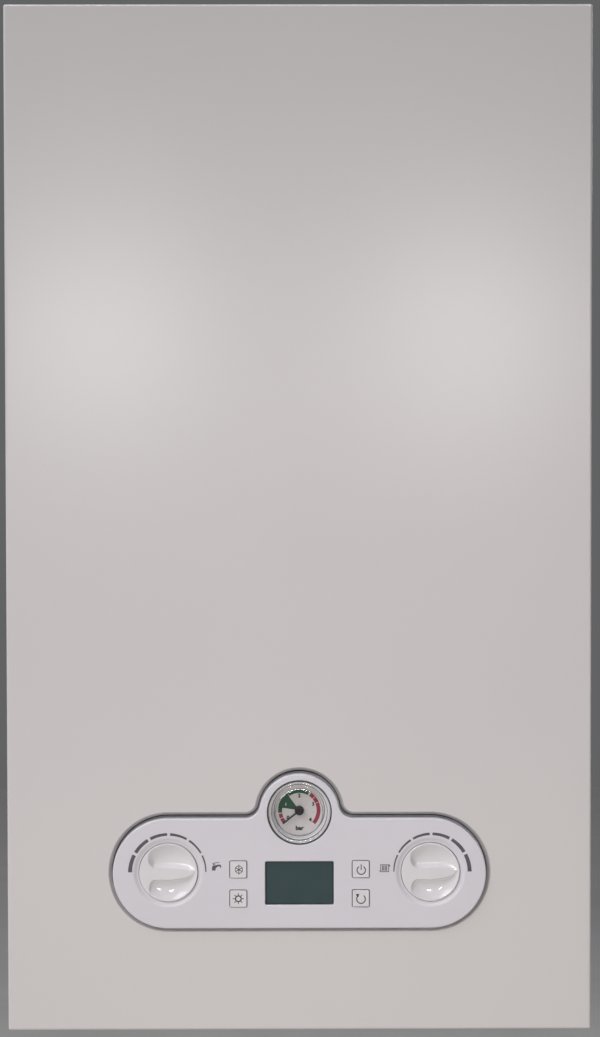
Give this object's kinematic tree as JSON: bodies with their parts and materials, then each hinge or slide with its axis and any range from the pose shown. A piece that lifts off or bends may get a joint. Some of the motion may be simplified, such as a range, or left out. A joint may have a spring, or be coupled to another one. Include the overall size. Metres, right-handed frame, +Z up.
{
  "type": "combi boiler",
  "caption": "Wall-hung gas combi boiler: plain white steel casing, control panel with knobs, buttons, display and pressure gauge, pipe ends below and a flue collar on top.",
  "frame": {"origin": "on the wall, midway between the wall bracket's two bolt holes", "axes": "+Z up, +Y into the wall, +X to the right seen from the front"},
  "size_m": [0.4, 0.2855, 0.7467],
  "materials": {
    "white_enamel": "white powder coat, slightly textured, semi-gloss",
    "galvanised_sheet": "zinc-coated steel sheet, dull",
    "zinc_screws": "zinc-plated screws",
    "grey_housing": "dark grey moulded plastic",
    "white_fascia": "white moulded plastic, satin",
    "white_knobs": "white moulded plastic, glossy",
    "white_buttons": "white moulded plastic with grey printed signs",
    "circuit_board": "green solder mask with parts soldered on",
    "clear_window": "clear plastic over a grey-green display",
    "gauge_black": "black moulded plastic",
    "gauge_white": "white moulded plastic",
    "gauge_face": "silver-grey face with printed coloured bands",
    "gauge_clear": "clear moulded plastic cap with stepped rings",
    "aluminised_sheet": "aluminised steel sheet",
    "seal_foam": "soft dark seal",
    "sight_pane": "heat-proof glass",
    "stainless_burner": "stainless steel, heat-tinted",
    "cast_aluminium": "die-cast aluminium",
    "fibre_board": "ceramic fibre board",
    "white_ceramic": "glazed white ceramic with a metal tip",
    "copper": "copper, dull",
    "motor_steel": "dark steel can and laminations",
    "switch_plastic": "cream moulded plastic",
    "red_vessel": "red stove enamel",
    "stainless_plates": "stainless steel plates, brazed",
    "brass_castings": "hot-pressed brass",
    "steel_spindle": "turned steel",
    "grey_actuator": "light grey moulded plastic",
    "red_knob": "red moulded plastic",
    "blue_knob": "blue moulded plastic",
    "pump_casting": "cast iron, dark paint",
    "black_cable": "black cable sheath"
  },
  "bodies": {
    "frame": {"wall_bracket": "galvanised_sheet", "back_frame": "galvanised_sheet", "left_side_panel": "white_enamel", "right_side_panel": "white_enamel", "top_panel": "white_enamel", "connection_plate": "galvanised_sheet", "casing_screws": "zinc_screws", "chamber_shell": "aluminised_sheet", "chamber_seal": "seal_foam", "chamber_cover": "aluminised_sheet", "sight_glass": "sight_pane", "burner": "stainless_burner", "gas_manifold": "cast_aluminium", "combustion_box": "aluminised_sheet", "insulation_panels": "fibre_board", "electrodes": "white_ceramic", "heat_exchanger": "copper", "exhaust_hood": "aluminised_sheet", "fan_housing": "aluminised_sheet", "fan_motor": "motor_steel", "air_pressure_switch": "switch_plastic", "flue_seal": "seal_foam", "flue_collar": "cast_aluminium", "expansion_vessel": "red_vessel", "plate_exchanger": "stainless_plates", "flow_block": "brass_castings", "diverter_motor": "grey_actuator", "return_block": "brass_castings", "relief_valve": "brass_castings", "pump_body": "pump_casting", "pump_motor": "cast_aluminium", "air_vent": "brass_castings", "gas_valve": "cast_aluminium", "gas_pipes": "copper", "heating_pipes": "copper", "capillary": "copper", "wiring_loom": "black_cable"},
    "control_box": {"control_box": "grey_housing", "control_fascia": "white_fascia", "box_rear_cover": "grey_housing", "box_screws": "zinc_screws", "main_board": "circuit_board", "display_board": "circuit_board", "display_window": "clear_window", "gauge_case": "gauge_white", "gauge_dial": "gauge_face", "gauge_lens": "gauge_clear"},
    "front_cover": {"front_cover": "white_enamel"},
    "hot_water_knob": {"hot_water_knob": "white_knobs"},
    "heating_knob": {"heating_knob": "white_knobs"},
    "frost_button": {"frost_button": "white_buttons"},
    "summer_button": {"summer_button": "white_buttons"},
    "power_button": {"power_button": "white_buttons"},
    "reset_button": {"reset_button": "white_buttons"},
    "gauge_needle": {"gauge_needle": "gauge_black"},
    "fan_impeller": {"fan_impeller": "cast_aluminium"},
    "pump_rotor": {"pump_rotor": "steel_spindle"},
    "diverter_stem": {"diverter_stem": "steel_spindle"},
    "relief_knob": {"relief_knob": "red_knob"},
    "filling_knob": {"filling_knob": "blue_knob"}
  },
  "joints": [
    {"name": "front_cover_off", "type": "slide", "parent": "frame", "child": "front_cover", "axis": [0, -1, 0], "range_m": [0, 0.5]},
    {"name": "control_box_tilt", "type": "hinge", "parent": "frame", "child": "control_box", "pos_m": [0, -0.268, -0.576], "axis": [1, 0, 0], "range_deg": [0, 90], "deforming": ["capillary", "wiring_loom"]},
    {"name": "hot_water_knob_turn", "type": "hinge", "parent": "control_box", "child": "hot_water_knob", "pos_m": [-0.08965, -0.285, -0.531], "axis": [0, -1, 0], "range_deg": [0, 180]},
    {"name": "heating_knob_turn", "type": "hinge", "parent": "control_box", "child": "heating_knob", "pos_m": [0.08965, -0.285, -0.531], "axis": [0, -1, 0], "range_deg": [0, 180]},
    {"name": "frost_button_press", "type": "slide", "parent": "control_box", "child": "frost_button", "axis": [0, 1, 0], "range_m": [0, 0.001], "stiffness_N_per_m": 400, "springref_m": -0.002},
    {"name": "summer_button_press", "type": "slide", "parent": "control_box", "child": "summer_button", "axis": [0, 1, 0], "range_m": [0, 0.001], "stiffness_N_per_m": 400, "springref_m": -0.002},
    {"name": "power_button_press", "type": "slide", "parent": "control_box", "child": "power_button", "axis": [0, 1, 0], "range_m": [0, 0.001], "stiffness_N_per_m": 400, "springref_m": -0.002},
    {"name": "reset_button_press", "type": "slide", "parent": "control_box", "child": "reset_button", "axis": [0, 1, 0], "range_m": [0, 0.001], "stiffness_N_per_m": 400, "springref_m": -0.002},
    {"name": "gauge_needle_turn", "type": "hinge", "parent": "control_box", "child": "gauge_needle", "pos_m": [0, -0.27, -0.49], "axis": [0, 1, 0], "range_deg": [0, 261]},
    {"name": "fan_spin", "type": "hinge", "parent": "frame", "child": "fan_impeller", "pos_m": [-0.024, -0.168, -0.042], "axis": [0, 1, 0], "continuous": true},
    {"name": "pump_spin", "type": "hinge", "parent": "frame", "child": "pump_rotor", "pos_m": [0.13, -0.11, -0.448], "axis": [0, 1, 0], "continuous": true},
    {"name": "diverter_stem_lift", "type": "slide", "parent": "frame", "child": "diverter_stem", "axis": [0, 0, 1], "range_m": [0, 0.01]},
    {"name": "relief_knob_turn", "type": "hinge", "parent": "frame", "child": "relief_knob", "pos_m": [0.13, -0.179, -0.558], "axis": [0, 1, 0], "range_deg": [0, 90]},
    {"name": "filling_knob_turn", "type": "hinge", "parent": "frame", "child": "filling_knob", "pos_m": [0.0975, -0.132, -0.649], "axis": [0, 0, 1], "range_deg": [0, 360]}
  ],
  "couplings": [
    {"joint": "control_box_tilt", "follows": "front_cover_off", "rad_per_m": 3.14}
  ]
}
